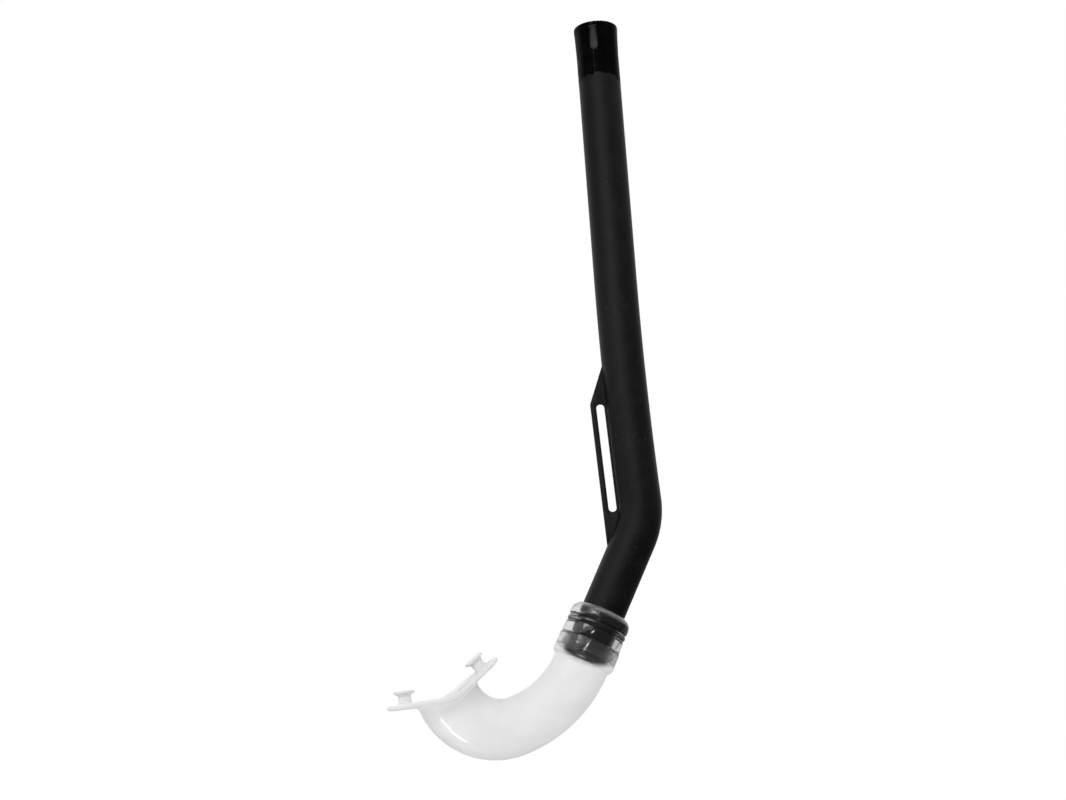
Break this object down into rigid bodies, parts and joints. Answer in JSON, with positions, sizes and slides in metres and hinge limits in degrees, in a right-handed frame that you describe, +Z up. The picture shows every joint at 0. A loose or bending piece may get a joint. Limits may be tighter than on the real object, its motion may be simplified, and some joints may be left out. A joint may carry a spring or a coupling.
{
  "type": "snorkel tube",
  "caption": "J-shaped snorkel with a black barrel, strap fin, glossy top sleeve, clear swivel collar and soft mouthpiece.",
  "frame": {"origin": "middle of the strap slot, in the fin beside the barrel", "axes": "+Z up along the strap slot, -X from the slot to the side of the mouthpiece, +Y square to the plane of the J"},
  "size_m": [0.1691, 0.0515, 0.4131],
  "materials": {
    "barrel_plastic": "matte black, finely textured",
    "sleeve_gloss": "polished black",
    "clear_collar": "clear, moulded",
    "seal_rubber": "smooth",
    "silicone": "milky, satin"
  },
  "bodies": {
    "tube": {"barrel": "barrel_plastic", "top_sleeve": "sleeve_gloss", "collar_seal": "seal_rubber"},
    "mouth": {"swivel_collar": "clear_collar", "mouthpiece": "silicone"}
  },
  "joints": [
    {"name": "mouthpiece_swivel", "type": "hinge", "parent": "tube", "child": "mouth", "pos_m": [-0.01189, 0, -0.08496], "axis": [0.4932, 0, 0.8699], "continuous": true}
  ]
}
